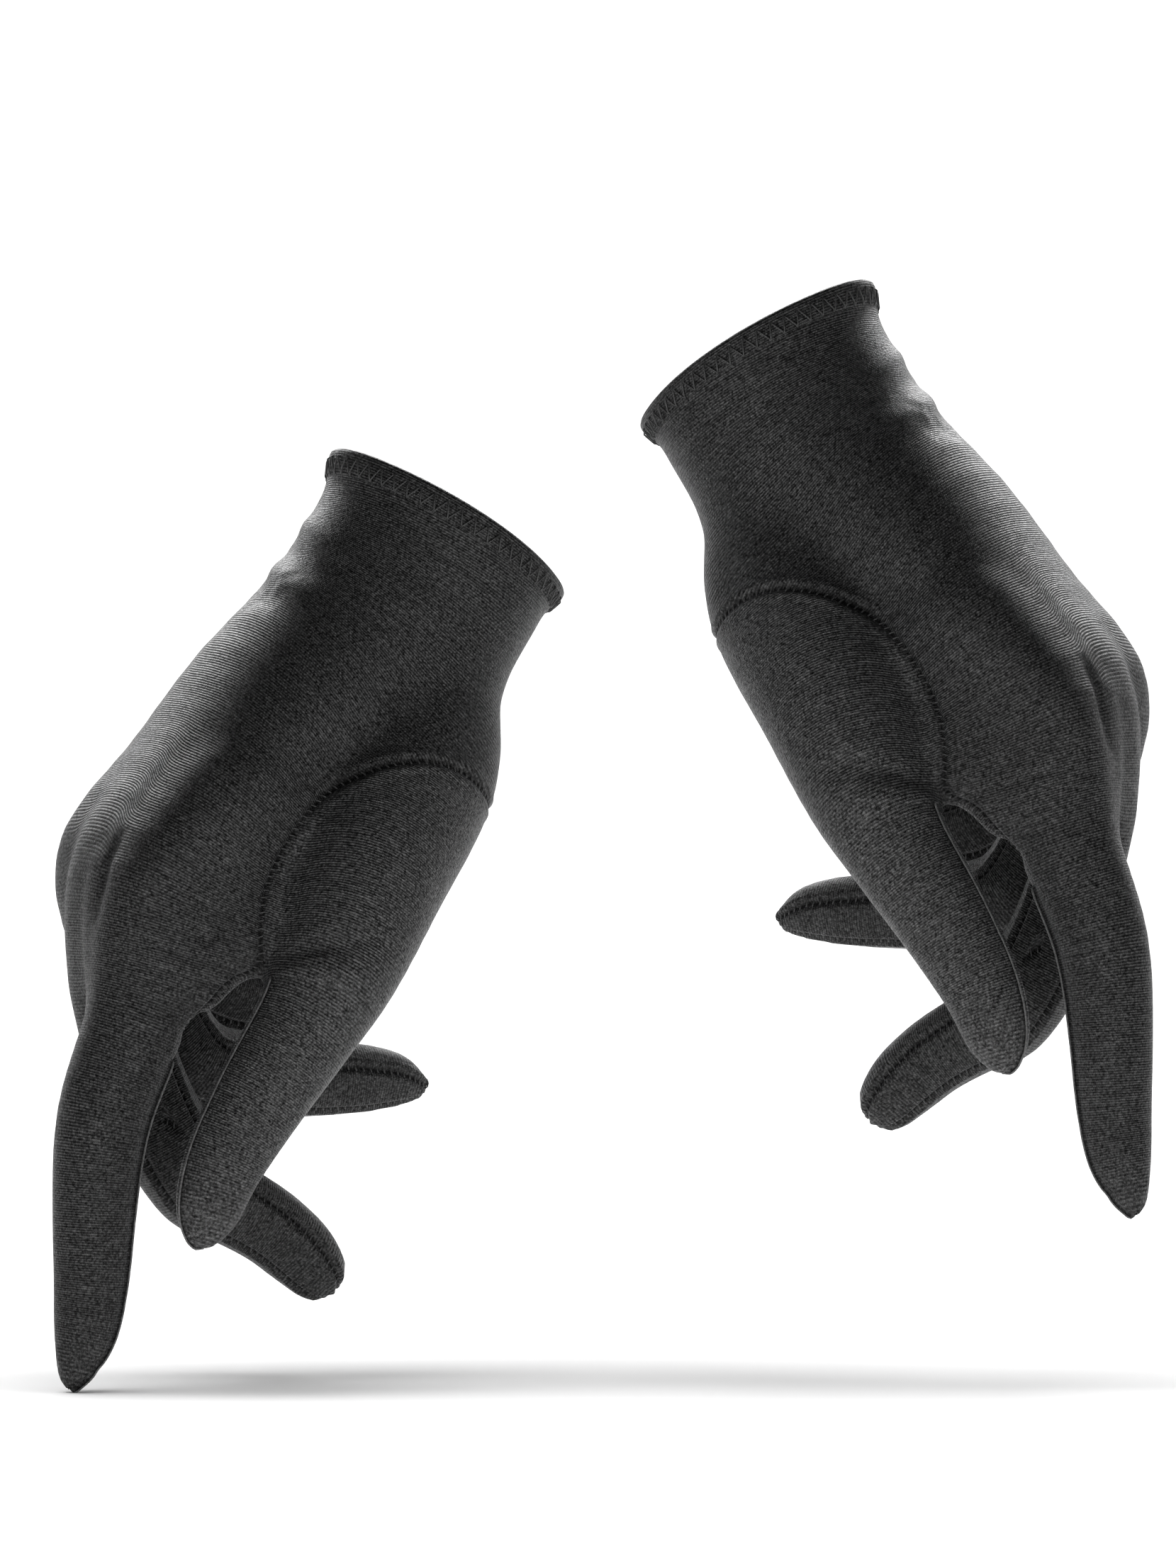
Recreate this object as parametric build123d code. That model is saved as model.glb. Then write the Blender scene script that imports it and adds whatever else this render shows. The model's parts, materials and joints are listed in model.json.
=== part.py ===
from build123d import *
import os

os.makedirs("parts", exist_ok=True)

# A pair of wrist-length stretch-satin gloves, in millimetres.
# +Z is up.  The origin is the centre of the left glove's wrist opening.
# Each glove is drawn in its own hand frame:
#   forward  p, level, in the plane the fingers curl in (+p is the palm side)
#   across   w, level, from the thumb side (-) to the little-finger side (+)
#   height   z
FORWARD = Vector(0.933, 0.360, 0)
ACROSS = Vector(-0.360, 0.933, 0)
UP = Vector(0, 0, 1)

# --- fabric and trimmings -------------------------------------------------
FABRIC = 0.8            # wall of the doubled-looking knit, with its nap
SEAM = 0.8              # width of a sewn seam ridge
HEM_DEPTH = 5.0         # folded band round the wrist opening
HEM_THICK = 2.4         # two layers of fabric and the elastic between them
ELASTIC_THICK = 0.6
ELASTIC_WIDTH = 3.6
ZIGZAG_STEP = 3.0       # one full tooth of the hem stitch
ZIGZAG_HEIGHT = 3.0
THREAD_RADIUS = 0.25
THREAD_PROUD = 0.2      # gap that keeps a straight stitch off the curved hem

# --- the pair ---------------------------------------------------------------
RIGHT_SHIFT = Vector(60, 0, 32.3)   # right glove after mirroring left to right

# --- hinge cut between hand and stall --------------------------------------
HINGE_GAP = 0.7         # clearance round the barrel
REACH = 60              # size of the cutting blocks
SLIVER = 0.05           # cutting crumbs below this volume are dropped

# --- hand: sections from the wrist opening to the webs ----------------------
# (p, w, z), pointing (p, z), half width, half thickness, tilt, rise
HAND = [
    ((0, 0, 0), (-0.53, -0.85), 24.0, 23.5, 0.00, 0.00),
    ((-7.6, 0, -12), (-0.55, -0.83), 24.5, 22.6, 0.00, 0.00),
    ((-18, 0, -25), (-0.62, -0.78), 26.5, 20.6, 0.00, 0.00),
    ((-33, 0, -38), (-0.70, -0.71), 31.0, 18.0, 0.03, 0.02),
    ((-48, 0, -50.5), (-0.68, -0.73), 34.5, 15.6, 0.09, 0.06),
    ((-62.5, 1, -62), (-0.40, -0.92), 36.0, 13.6, 0.18, 0.12),
    ((-65.5, 1.5, -75), (-0.05, -1.00), 35.5, 12.0, 0.32, 0.18),
    ((-62, 2, -87), (0.10, -1.00), 34.5, 10.5, 0.40, 0.24),
]

# --- thumb base, from the heel of the hand to the thumb hinge ---------------
# (p, w, z), pointing (p, z), half width across, half depth
THUMB_BASE = [
    ((-11, -5, -24), (-0.45, -0.90), 11.0, 11.0),
    ((-16, -18, -45), (-0.50, -0.87), 14.5, 19.0),
    ((-33, -31, -66), (-0.55, -0.83), 13.0, 20.5),
    ((-38.5, -39, -84), (-0.57, -0.82), 9.8, 13.6),
    ((-45.5, -41, -97), (-0.57, -0.82), 7.0, 8.0),
]

# --- web of fabric between the thumb and the index stall --------------------
WEB = [
    ((-50, -25, -56), (-0.10, -1.00), 8.0, 13.0),
    ((-53, -28, -70), (-0.10, -1.00), 7.5, 10.5),
    ((-55, -30, -82), (-0.10, -1.00), 5.5, 6.5),
]

# --- stalls: across offset, centre line (p, z), radii, seam offset, hinge ---
STALLS = {
    "index": (
        -23.7,
        [(-63.5, -70), (-69.5, -93.4), (-77, -117.4), (-79.3, -141), (-80.7, -155)],
        [8.4, 8.4, 8.3, 7.2, 6.2], 5.2, (-71.3, -99.1)),
    "middle": (
        -6.0,
        [(-67.5, -65), (-66.6, -88.6), (-61.3, -113.3), (-43.8, -129.3), (-28.6, -141)],
        [8.4, 8.4, 8.4, 7.3, 6.2], 5.2, (-66.1, -94.5)),
    "ring": (
        11.3,
        [(-65, -64), (-59.1, -86.4), (-44.7, -101.3), (-23.3, -106), (-7.1, -106.5)],
        [8.0, 8.0, 7.8, 6.9, 5.9], 4.8, (-55.8, -90.6)),
    "little": (
        27.3,
        [(-58, -61), (-47.4, -80), (-36.6, -88.2), (-20.6, -91.5), (-9, -91.5)],
        [7.2, 7.2, 7.0, 6.2, 5.4], 4.4, (-44.2, -83.0)),
    "thumb": (
        -42.0,
        [(-31, -74), (-41.5, -91.5), (-53, -109.5), (-60, -121), (-62.3, -127.4)],
        [10.6, 10.8, 9.2, 8.0, 6.6], 5.0, (-41.5, -91.5)),
}

# --- the seam that sets the thumb piece into the hand (p, z) ----------------
THUMB_SEAM = [
    (-52, -84), (-50, -77), (-45, -63.5), (-36, -52), (-22.5, -45.5), (-14, -45.5),
    (-6, -50), (4, -60),
]
THUMB_SEAM_FAR = [(30, -100), (-35, -125), (-60, -112), (-56, -92)]
INDEX_SEAM_SHIFT = 4.5      # palm-side seam of the index, off its centre line
THUMB_SEAM_REACH = -13.0    # the seam stays on the thumb side of this offset


def at(p, w, z):
    """A point given in the hand frame."""
    return FORWARD * p + ACROSS * w + UP * z


def pointing(p, z):
    return (FORWARD * p + UP * z).normalized()


def hand_plane(index, push=0.0):
    """The plane of one section, with x across the hand and y towards the palm."""
    centre, aim, _, _, tilt, rise = HAND[index]
    wide = (ACROSS + FORWARD * tilt + UP * rise).normalized()
    aim = pointing(*aim)
    normal = (aim - wide * aim.dot(wide)).normalized()
    return Plane(origin=at(*centre) + normal * push, x_dir=wide, z_dir=normal)


def hand_section(index, grow, push=0.0):
    half_width, half_thick = HAND[index][2:4]
    return hand_plane(index, push) * Ellipse(half_width + grow, half_thick + grow)


def hand_body(grow=0.0):
    """The hand as one solid; a shrunken one runs out past the wrist opening."""
    push = {0: -1.0, len(HAND) - 1: -FABRIC} if grow < 0 else {}
    return loft([hand_section(i, grow, push.get(i, 0.0)) for i in range(len(HAND))])


def bulge(table, grow=0.0):
    """A swelling of the hand; a shrunken one also stops short at both ends."""
    sections = []
    for row, (centre, aim, half_width, half_depth) in enumerate(table):
        aim = pointing(*aim)
        push = 0.0
        if grow < 0:
            push = {0: FABRIC, len(table) - 1: -FABRIC}.get(row, 0.0)
        plane = Plane(origin=at(*centre) + aim * push, x_dir=ACROSS, z_dir=aim)
        sections.append(plane * Ellipse(half_width + grow, half_depth + grow))
    return loft(sections)


def centre_line(name):
    w, line, _, _, _ = STALLS[name]
    return Spline([at(p, w, z) for p, z in line])


def stall_tube(name, grow=0.0):
    """A closed, round-ended tube down the middle of one stall."""
    _, line, radii, _, _ = STALLS[name]
    path = centre_line(name)
    last = len(line) - 1
    sections = []
    for step in range(2 * last + 1):
        where = step / 2
        low = min(int(where), last - 1)
        radius = radii[low] + (radii[low + 1] - radii[low]) * (where - low) + grow
        share = where / last
        plane = Plane(origin=path @ share, x_dir=ACROSS, z_dir=path % share)
        sections.append(plane * Circle(radius))
    end = path @ 1
    aim = path % 1
    tip = radii[-1] + grow
    for out, width in ((0.5, 0.87), (0.85, 0.5), (0.97, 0.22)):
        plane = Plane(origin=end + aim * (tip * out), x_dir=ACROSS, z_dir=aim)
        sections.append(plane * Circle(tip * width))
    return loft(sections)


def hinge_point(name):
    w, _, _, _, hinge = STALLS[name]
    return at(hinge[0], w, hinge[1])


def hinge_aim(name):
    """Direction of the stall's centre line where it passes its hinge."""
    path = centre_line(name)
    here = hinge_point(name)
    nearest = min(range(101), key=lambda k: (path @ (k / 100) - here).length)
    return path % (nearest / 100)


def hinge_block(name, kind):
    """Region kept for the moving stall, the hand's stub or the stub's bore."""
    radius = max(STALLS[name][2][:2]) + 0.15
    if kind == "moving":
        outline = Pos(REACH, 0) * Rectangle(2 * REACH, 2 * REACH)
        outline -= Circle(radius + HINGE_GAP)
    elif kind == "stub":
        outline = Pos(-REACH / 2, 0) * Rectangle(REACH, 2 * REACH)
        outline += Circle(radius)
    else:
        outline = Pos(radius + 3 - REACH / 2, 0) * Rectangle(REACH, 2 * REACH)
    origin = hinge_point(name) - ACROSS * 25
    plane = Plane(origin=origin, x_dir=hinge_aim(name), z_dir=ACROSS)
    return extrude(plane * outline, 50)


def slab(name, low, high):
    """A wide block covering one stall between two offsets across it."""
    w = STALLS[name][0]
    plane = Plane(origin=at(-40, w + low, -100), x_dir=FORWARD, z_dir=ACROSS)
    return extrude(plane * Rectangle(200, 200), high - low)


def run_along(name, shift):
    """Points beside the stall's centre line; shift moves them towards the palm."""
    path = centre_line(name)
    points = []
    for step in range(13):
        share = step / 12
        points.append((path @ share) - ACROSS.cross(path % share) * shift)
    points.insert(0, points[0] - (path % 0) * 12)
    points.append(points[-1] + (path % 1) * 20)
    return [point - ACROSS * 30 for point in points]


def between_block(name, low, high):
    """Block between two runs along the stall, right across its width."""
    outline = Polyline(run_along(name, low) + run_along(name, high)[::-1], close=True)
    return extrude(make_face(outline), 60, dir=ACROSS)


def joined(shapes):
    result = shapes[0]
    for shape in shapes[1:]:
        result = result + shape
    return result


def stall_parts(name):
    """Back, palm, fourchettes and seams of one stall, cut from one shell."""
    shell = (stall_tube(name) - stall_tube(name, -FABRIC)) & hinge_block(name, "moving")
    seam_at = STALLS[name][3]
    half = SEAM / 2
    parts = {}
    seams = []
    low, high = -30, 30
    if name in ("middle", "ring", "little"):
        parts["fourchette_radial"] = shell & slab(name, -30, -seam_at - half)
        seams.append(shell & slab(name, -seam_at - half, -seam_at + half))
        low = -seam_at + half
    if name in ("index", "middle", "ring"):
        parts["fourchette_ulnar"] = shell & slab(name, seam_at + half, 30)
        seams.append(shell & slab(name, seam_at - half, seam_at + half))
        high = seam_at - half
    rest = shell & slab(name, low, high)
    shift = INDEX_SEAM_SHIFT if name == "index" else 0.0
    seams.append(rest & between_block(name, shift - half, shift + half))
    parts["back"] = rest & between_block(name, -16, shift - half)
    parts["palm"] = rest & between_block(name, shift + half, 12)
    parts["seams"] = joined(seams)
    return parts


def thumb_parts():
    shell = stall_tube("thumb") - stall_tube("thumb", -FABRIC)
    shell = shell & hinge_block("thumb", "moving")
    groove = slab("thumb", -SEAM / 2, SEAM / 2) & between_block("thumb", -16, 0)
    return {"stall": shell - groove, "seams": shell & groove}


def wrist_band(low, high):
    """Block across the glove between two depths below the wrist opening."""
    aim = pointing(*HAND[0][1])
    plane = Plane(origin=aim * low, x_dir=ACROSS, z_dir=aim)
    return extrude(plane * Rectangle(90, 70), high - low)


def hem_parts():
    outside = hand_body()
    inner_fold = HEM_THICK - FABRIC
    hem = (outside - hand_body(-HEM_THICK)) & wrist_band(0, HEM_DEPTH)
    slot = hand_body(-FABRIC) - hand_body(-inner_fold)
    hem = hem - (slot & wrist_band(FABRIC, HEM_DEPTH + 1))
    play = (inner_fold - FABRIC - ELASTIC_THICK) / 2
    elastic = hand_body(-FABRIC - play) - hand_body(-inner_fold + play)
    elastic = elastic & wrist_band(FABRIC + 0.2, FABRIC + 0.2 + ELASTIC_WIDTH)
    return {"cuff_hem": hem, "cuff_elastic": elastic}


def ring_at(depth, proud):
    """The outline of the cuff, a little proud of it, at one depth."""
    aim = pointing(*HAND[0][1])
    plane = Plane(origin=aim * depth, x_dir=ACROSS, z_dir=aim)
    return (hand_body(proud) & (plane * Rectangle(90, 70))).wires()[0]


def zigzag_stitches():
    """Short threads zigzagging round the hem, each diving in at its ends."""
    proud = THREAD_RADIUS + THREAD_PROUD
    middle = HEM_DEPTH / 2
    near = ring_at(middle - ZIGZAG_HEIGHT / 2, proud)
    far = ring_at(middle + ZIGZAG_HEIGHT / 2, proud)
    count = 2 * round(near.length / ZIGZAG_STEP)
    corners = [(far if k % 2 else near) @ (k / count) for k in range(count)]
    stitches = []
    for start, stop in zip(corners, corners[1:] + corners[:1]):
        run = (stop - start).normalized()
        plane = Plane(origin=start + run * THREAD_RADIUS, z_dir=run)
        length = (stop - start).length - 2 * THREAD_RADIUS - 0.1
        stitches += extrude(plane * Circle(THREAD_RADIUS), length).solids()
    return Compound(stitches)


def thumb_seam_block(shift, depth):
    """Block over the thumb piece; shift moves its curved edge into the piece."""
    seam = Spline([at(p, -60, z) for p, z in THUMB_SEAM])
    points = []
    for step in range(9):
        share = step / 8
        points.append((seam @ share) + ACROSS.cross(seam % share) * shift)
    far = [at(p, -60, z) for p, z in THUMB_SEAM_FAR]
    face = make_face(Spline(points) + Polyline([points[-1]] + far + [points[0]]))
    return extrude(face, depth + 60, dir=ACROSS)


def side_seam_block():
    """A narrow strip down the little-finger edge of the hand."""
    upper, lower = [], []
    for centre, aim, half_width, _, tilt, rise in HAND:
        wide = (ACROSS + FORWARD * tilt + UP * rise).normalized()
        edge = at(*centre) + wide * half_width
        flat = FORWARD * edge.dot(FORWARD) + UP * edge.Z + ACROSS * 12
        side = ACROSS.cross(pointing(*aim)) * (SEAM / 2)
        upper.append(flat + side)
        lower.append(flat - side)
    outline = Polyline(upper + lower[::-1], close=True)
    return extrude(make_face(outline), 50, dir=ACROSS)


def back_block():
    """Block over the back of the hand, down to the middle of its thickness."""
    sections = []
    for index in range(len(HAND)):
        ends = {0: [-20, 0], len(HAND) - 1: [0, REACH]}.get(index, [0])
        for push in ends:
            plane = hand_plane(index, push)
            sections.append(plane * Pos(0, -REACH / 2) * Rectangle(2 * REACH, REACH))
    return loft(sections, ruled=True)


def hand_parts():
    outer = [hand_body(), bulge(WEB), bulge(THUMB_BASE) & hinge_block("thumb", "stub")]
    inner = [hand_body(-FABRIC), bulge(WEB, -FABRIC), bulge(THUMB_BASE, -FABRIC)]
    for name in STALLS:
        outer.append(stall_tube(name) & hinge_block(name, "stub"))
        inner.append(stall_tube(name, -FABRIC) & hinge_block(name, "bore"))
    shell = joined(outer) - joined(inner) - wrist_band(-5, HEM_DEPTH)
    inside = thumb_seam_block(SEAM / 2, THUMB_SEAM_REACH - SEAM)
    outside = thumb_seam_block(-SEAM / 2, THUMB_SEAM_REACH)
    rest = shell - outside
    side = side_seam_block()
    trank = rest - side
    back = back_block()
    return {
        "trank_back": trank & back,
        "trank_palm": trank - back,
        "side_seam": rest & side,
        "thumb_gore": shell & inside,
        "thumb_gore_seam": shell & (outside - inside),
    }


def whole_glove():
    nodes = {**hand_parts(), **hem_parts(), "cuff_zigzag": zigzag_stitches()}
    for name in ("index", "middle", "ring", "little"):
        for part, shape in stall_parts(name).items():
            nodes[f"{name}_{part}"] = shape
    for part, shape in thumb_parts().items():
        nodes[f"thumb_{part}"] = shape
    return nodes


def cleaned(shape):
    solids = [solid for solid in shape.solids() if solid.volume > SLIVER]
    return solids[0] if len(solids) == 1 else Compound(solids)


for node, shape in whole_glove().items():
    left = cleaned(shape)
    right = mirror(left, about=Plane.YZ).moved(Location(RIGHT_SHIFT))
    export_step(left, f"parts/left_{node}.step")
    export_step(right, f"parts/right_{node}.step")
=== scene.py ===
import json
import math
from functools import partial

import bpy
import numpy as np
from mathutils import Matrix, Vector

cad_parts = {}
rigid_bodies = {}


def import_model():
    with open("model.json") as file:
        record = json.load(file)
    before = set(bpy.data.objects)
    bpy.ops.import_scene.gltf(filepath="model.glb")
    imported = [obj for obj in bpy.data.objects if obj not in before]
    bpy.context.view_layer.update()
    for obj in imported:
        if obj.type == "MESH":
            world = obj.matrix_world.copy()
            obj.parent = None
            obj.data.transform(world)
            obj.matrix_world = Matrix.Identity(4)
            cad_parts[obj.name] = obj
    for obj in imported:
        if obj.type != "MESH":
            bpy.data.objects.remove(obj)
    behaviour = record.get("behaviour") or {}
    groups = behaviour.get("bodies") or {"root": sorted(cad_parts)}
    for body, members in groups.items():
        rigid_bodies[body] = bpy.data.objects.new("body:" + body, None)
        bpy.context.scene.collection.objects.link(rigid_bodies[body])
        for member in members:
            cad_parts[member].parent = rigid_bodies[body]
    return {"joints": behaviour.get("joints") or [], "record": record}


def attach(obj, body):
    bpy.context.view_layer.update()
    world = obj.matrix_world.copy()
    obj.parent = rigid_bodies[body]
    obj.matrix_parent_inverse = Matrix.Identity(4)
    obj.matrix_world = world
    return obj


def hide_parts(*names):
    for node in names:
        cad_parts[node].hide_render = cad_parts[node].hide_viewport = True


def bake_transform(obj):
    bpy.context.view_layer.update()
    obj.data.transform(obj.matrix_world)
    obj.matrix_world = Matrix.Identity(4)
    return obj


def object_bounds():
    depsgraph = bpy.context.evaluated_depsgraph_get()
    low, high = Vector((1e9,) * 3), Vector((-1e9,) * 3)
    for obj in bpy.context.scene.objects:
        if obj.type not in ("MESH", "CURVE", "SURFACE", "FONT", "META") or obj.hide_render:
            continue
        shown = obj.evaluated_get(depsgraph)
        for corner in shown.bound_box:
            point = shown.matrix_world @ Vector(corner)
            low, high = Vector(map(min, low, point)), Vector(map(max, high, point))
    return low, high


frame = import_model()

import openvdb
from mathutils import Vector
from mathutils.bvhtree import BVHTree

CAD_BOX = [list(corner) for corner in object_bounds()]
MM = 0.001

# The left glove is shaped in its own hand frame, in millimetres:
#   p forward (palm side), w across (thumb side to little-finger side), z up.
FORWARD = np.array((0.933, 0.360, 0.0))
ACROSS = np.array((-0.360, 0.933, 0.0))
UP = np.array((0.0, 0.0, 1.0))

JOINTS = {joint["name"]: joint for joint in frame["joints"]}
MOUNTS = {mount["name"]: np.array(mount["pos_m"]) / MM for mount in frame["record"]["mounts"]}
RIGHT_SHIFT = MOUNTS["right_wrist_opening"] - MOUNTS["left_wrist_opening"]


def hinge(finger):
    """A stall's hinge in the hand frame: (p, w, z)."""
    point = np.array(JOINTS[f"left_{finger}_flex"]["pos_m"]) / MM
    return np.array((point @ FORWARD, point @ ACROSS, point[2]))


FABRIC = 0.6            # wall of the fabric
CELL = 0.9       # step of the grid that the surface is taken from
BAND = 4                # the grid is filled in finely only near the surface, from each 4th point
FAR = 99.0              # stands for out of reach
REACH = 9.0             # distances further off than this don't matter
HEM = 5.0               # depth of the folded hem
KNIT_PITCH = 0.48       # one course of the knit

# How softly one shape runs into the next: finger and hand, thumb and web, thumb and hand
FINGER_MELT, WEB_MELT, THUMB_MELT = 5.0, 7.0, 6.0
MITRE = 1.6             # each run of the hand reaches this far past its end, to meet the next
# Sections of the hand: centre p, w, z, half width, half thickness, tilt, rise
HAND = [
    (8.0, 0.0, 13.5, 24.0, 25.4, 0.00, 0.00),
    (0.0, 0.0, 0.0, 24.0, 24.0, 0.00, 0.00),
    (-7.2, 0.0, -12.7, 24.5, 24.1, 0.00, 0.00),
    (-18.0, 0.0, -25.1, 26.0, 22.8, 0.00, 0.00),
    (-33.8, 0.0, -36.8, 29.0, 19.5, 0.03, 0.02),
    (-48.4, 0.0, -49.8, 32.0, 15.4, 0.09, 0.06),
    (-61.8, 1.0, -62.4, 33.5, 11.9, 0.18, 0.12),
    (-64.0, 1.5, -75.0, 32.5, 9.6, 0.32, 0.18),
    (-63.0, 2.0, -83.0, 30.5, 8.4, 0.40, 0.24),
]

# Centre line of each finger from inside the hand to the tip: (p, z, radius)
FINGERS = {
    "index": [
        (-50.5, -52, 8.6), (-62.6, -70, 9.6), (-68.2, -88, 9.3), (-72.3, -99, 9.2),
        (-75.9, -109, 8.8), (-77.6, -118, 8.3), (-78.5, -130, 7.6), (-79.0, -141, 6.9),
        (-80.0, -150.5, 5.9), (-81.6, -157, 3.8), (-82.5, -160, 2.1)],
    "middle": [
        (-50.5, -52, 8.6), (-65.8, -66, 9.9), (-68.2, -84, 9.1), (-67.0, -94.5, 8.6),
        (-63.4, -106.3, 8.9), (-58.2, -116.6, 9.0), (-52.3, -125.4, 8.5), (-45.8, -128.6, 8.0),
        (-38.4, -132.8, 7.6), (-32.4, -137.6, 7.2), (-29.1, -141.1, 6.3)],
    "ring": [
        (-49.5, -50, 8.6), (-64.2, -64.5, 9.8), (-61.0, -82, 8.8), (-55.6, -91.2, 8.8),
        (-47.2, -102.8, 9.0), (-35, -105.2, 8.4), (-23, -106.0, 7.3), (-14.5, -106.0, 6.8),
        (-7.4, -106.2, 5.4), (-2.6, -107.4, 3.0)],
    "little": [
        (-45, -50, 8.0), (-56.5, -62.5, 8.7), (-50.5, -75.5, 7.8), (-44.4, -83.8, 7.6),
        (-36.0, -90.0, 7.6), (-22.0, -92.3, 6.6), (-11.5, -91.5, 5.0), (-7.0, -91.8, 2.6)],
}
# The thumb and the webs leave a plane, so their centre lines are (p, w, z, radius)
THUMB = [
    (-8.5, -6, -30, 15.8), (-13.2, -17, -46.8, 16.4), (-26.3, -30.5, -66, 14.7),
    (-35.2, -38.5, -82, 12.1), (-42.2, -41.5, -93, 10.2), (-51.8, -42, -107, 8.9),
    (-58.9, -42, -119, 7.6), (-61.8, -42, -127, 6.3), (-63, -42, -131.3, 4.0)]
WEBS = [
    [(-46, -24, -56, 9.0), (-50.5, -28, -68, 6.5), (-50.5, -31.5, -78, 4.6)],
    [(-50.5, -28.5, -74, 5.5), (-54.5, -29.0, -80.5, 5.0), (-58.5, -28.5, -86.5, 4.6)],
]

# Seams round a finger, in degrees from its thumb side over its back: (at base, at tip)
SEAMS = {
    "index": {"ulnar_back": (140, 150), "ulnar_palm": (220, 210), "radial_palm": (299, 296)},
    "middle": {"radial_back": (45, 62), "ulnar_back": (135, 150),
               "ulnar_palm": (225, 210), "radial_palm": (318, 343)},
    "ring": {"radial_back": (45, 60), "ulnar_back": (135, 150),
             "ulnar_palm": (225, 210), "radial_palm": (318, 348)},
    "little": {"radial_back": (45, 40), "ulnar_side": (180, 180), "radial_palm": (315, 325)},
    "thumb": {"inner": (82, 75)},
}
PANELS = {
    "index": {"back": ("radial_palm", "ulnar_back"),
              "fourchette_ulnar": ("ulnar_back", "ulnar_palm"),
              "palm": ("ulnar_palm", "radial_palm")},
    "middle": {"back": ("radial_back", "ulnar_back"),
               "fourchette_ulnar": ("ulnar_back", "ulnar_palm"),
               "palm": ("ulnar_palm", "radial_palm"),
               "fourchette_radial": ("radial_palm", "radial_back")},
    "little": {"back": ("radial_back", "ulnar_side"), "palm": ("ulnar_side", "radial_palm"),
               "fourchette_radial": ("radial_palm", "radial_back")},
}
PANELS["ring"] = PANELS["middle"]

# The arched seam round the ball of the thumb, seen from the thumb side: (p, z).  It is led
# in from the index seam, past the point of the web, and the outline closes over the thumb.
GORE_LEAD = [(-63.8, -99.0), (-62.8, -96.6), (-60.3, -93.3), (-56.5, -88.1), (-54.0, -85.7)]
GORE_SEAM = [
    (-50.5, -83.5), (-50.2, -77), (-48.8, -70), (-45.5, -63.5), (-41.6, -57.5), (-36.2, -51.8),
    (-29.6, -47.6), (-22.3, -45.2), (-14.3, -45.2), (-7.5, -47.8), (-1, -53), (6, -62)]
GORE_FAR = [(30, -100), (-35, -125), (-66, -112)]
GORE_REACH = -12.0      # it turns over to the palm and stays on the thumb side of this


# ---- shape field ----

def smooth_min(a, b, width):
    near = np.maximum(width - np.abs(a - b), 0) / width
    return np.minimum(a, b) - near * near * width / 4


def unit(vectors):
    return vectors / (np.linalg.norm(vectors, axis=-1)[..., None] + 1e-12)


def beside(points, path, spread):
    """Numbers of the points in the box round a path."""
    low, high = path.min(axis=0) - spread, path.max(axis=0) + spread
    return np.flatnonzero(((points > low) & (points < high)).all(axis=1))


def cone(points, start, stop):
    """Distance to a round limb between two (x, y, z, radius) ends."""
    a, b = np.array(start[:3], float), np.array(stop[:3], float)
    run = b - a
    share = np.clip(((points - a) @ run) / (run @ run), 0, 1)
    radius = start[3] + (stop[3] - start[3]) * share
    return np.linalg.norm(points - a - share[:, None] * run, axis=1) - radius


def limb(points, line):
    """Distance to a limb whose width changes smoothly along it."""
    path = spline(line, 4)
    picked = beside(points, path[:, :3], path[:, 3].max() + REACH)
    nearest = np.full(len(picked), FAR)
    for start, stop in zip(path, path[1:]):
        nearest = np.minimum(nearest, cone(points[picked], start, stop))
    found = np.full(len(points), FAR)
    found[picked] = nearest
    return found


def hand_distance(points):
    """Distance to the hand, a run of elliptical sections."""
    rows = spline(HAND, 3)
    centres = rows[:, :3]
    aims = np.gradient(centres, axis=0)
    wides = np.stack([rows[:, 5], np.ones(len(rows)), rows[:, 6]], axis=1)
    picked = beside(points, centres, rows[:, 3].max() + REACH)
    near = points[picked]
    nearest = np.full(len(near), FAR)
    for k in range(len(rows) - 1):
        run = centres[k + 1] - centres[k]
        length = np.linalg.norm(run)
        along = ((near - centres[k]) @ run) / length ** 2
        share = np.clip(along, 0, 1)[:, None]
        offset = near - centres[k] - share * run
        aim = unit(aims[k] + (aims[k + 1] - aims[k]) * share)
        thin = unit(np.cross(aim, wides[k] + (wides[k + 1] - wides[k]) * share))
        wide = np.cross(thin, aim)
        half = rows[k, 3:5] + (rows[k + 1, 3:5] - rows[k, 3:5]) * share
        x = np.einsum("ij,ij->i", offset, wide) / half[:, 0]
        y = np.einsum("ij,ij->i", offset, thin) / half[:, 1]
        rho = np.hypot(x, y) + 1e-6
        slope = np.hypot(x / half[:, 0], y / half[:, 1]) / rho + 1e-6
        aside = np.minimum((rho - 1) / slope, 40)
        past = np.maximum(np.abs(along - share[:, 0]) * length - MITRE, 0)
        distance = np.hypot(np.maximum(aside, 0), past) + np.minimum(aside, 0)
        distance = np.where((past > 0) & (aside < 0), distance + 1.5 * past, distance)
        nearest = np.minimum(nearest, distance)
    found = np.full(len(points), FAR)
    found[picked] = nearest
    return found


def surface_distance(points):
    fingers = np.full(len(points), FAR)
    for name, line in FINGERS.items():
        w = hinge(name)[1]
        fingers = np.minimum(fingers, limb(points, [(p, w, z, r) for p, z, r in line]))
    body = smooth_min(hand_distance(points), fingers, FINGER_MELT)
    thumb = limb(points, THUMB)
    for web in WEBS:
        thumb = smooth_min(thumb, limb(points, web), WEB_MELT)
    return smooth_min(body, thumb, THUMB_MELT)


def gradient(points):
    step = 0.25
    slope = np.empty_like(points)
    for axis in range(3):
        shift = np.zeros(3)
        shift[axis] = step
        slope[:, axis] = surface_distance(points + shift) - surface_distance(points - shift)
    return slope / np.linalg.norm(slope, axis=1)[:, None]


def distances(axes):
    """Distance at every point of a grid."""
    places = np.stack(np.meshgrid(*axes, indexing="ij"), axis=-1)
    return surface_distance(places.reshape(-1, 3)).reshape(places.shape[:3])


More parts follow.
